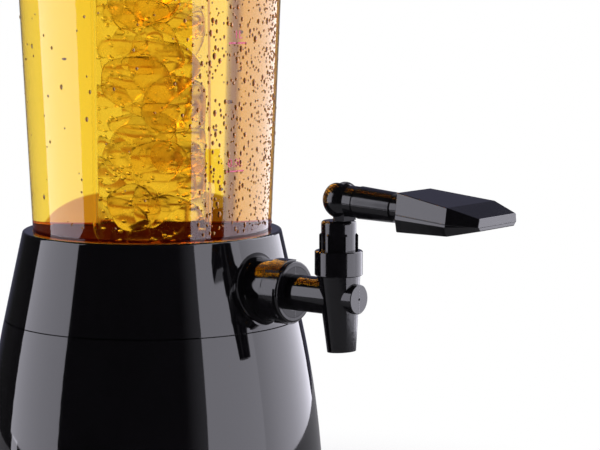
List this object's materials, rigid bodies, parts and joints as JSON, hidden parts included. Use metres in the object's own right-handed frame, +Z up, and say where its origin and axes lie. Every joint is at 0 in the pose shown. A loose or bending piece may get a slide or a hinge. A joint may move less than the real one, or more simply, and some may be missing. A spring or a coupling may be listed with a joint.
{
  "type": "beer tower",
  "caption": "Table-top beer tower with a glossy black base, a clear tapered tube with an ice tube inside, and a lever tap that is open",
  "frame": {"origin": "The tower axis where it meets the table", "axes": "+Z points up along the tower axis, -Y points out along the tap and +X points to the right of someone who looks from the tap side along +Y"},
  "size_m": [0.1682, 0.2806, 0.5436],
  "materials": {
    "gloss_black": "high-gloss moulded black",
    "matte_black": "fine spark-eroded black",
    "clear_plastic": "clear polished",
    "silicone": "translucent white silicone",
    "seal_rubber": "smooth black nitrile",
    "foot_rubber": "matt black",
    "steel": "bright stainless",
    "acetal": "turned black acetal"
  },
  "bodies": {
    "tower": {"base_skirt": "gloss_black", "base_cover": "matte_black", "cover_screws": "steel", "reservoir_collar": "gloss_black", "collar_screws": "steel", "tube_seal": "silicone", "tube": "clear_plastic", "tap_washer": "silicone", "coupling_nut": "gloss_black", "tap_body": "gloss_black", "bonnet": "gloss_black", "bonnet_seal": "silicone", "gland_washer": "acetal", "stem_o_ring": "seal_rubber", "return_spring": "steel", "rubber_foot_1": "foot_rubber", "rubber_foot_2": "foot_rubber", "rubber_foot_3": "foot_rubber", "rubber_foot_4": "foot_rubber"},
    "stem": {"valve_stem": "acetal", "seat_cup": "silicone"},
    "handle": {"lever": "gloss_black", "lever_pin": "steel"},
    "top": {"lid": "gloss_black", "lid_seal": "silicone"},
    "ice_core": {"ice_tube": "clear_plastic"},
    "ice_core_cap": {"ice_tube_cap": "gloss_black"}
  },
  "joints": [
    {"name": "stem_slide", "type": "slide", "parent": "tower", "child": "stem", "axis": [0, 0, -1], "range_m": [0, 0.003], "deforming": ["return_spring"]},
    {"name": "lever_hinge", "type": "hinge", "parent": "stem", "child": "handle", "pos_m": [0, -0.11279, 0.2119], "axis": [-1, 0, 0], "range_deg": [0, 93.2]},
    {"name": "lid_lift", "type": "slide", "parent": "tower", "child": "top", "axis": [0, 0, 1], "range_m": [0, 0.36]},
    {"name": "ice_tube_lift", "type": "slide", "parent": "top", "child": "ice_core", "axis": [0, 0, 1], "range_m": [0, 0.36]},
    {"name": "ice_cap_lift", "type": "slide", "parent": "ice_core", "child": "ice_core_cap", "axis": [0, 0, 1], "range_m": [0, 0.03]}
  ],
  "couplings": [
    {"joint": "stem_slide", "follows": "lever_hinge", "m_per_rad": 0.001844}
  ]
}
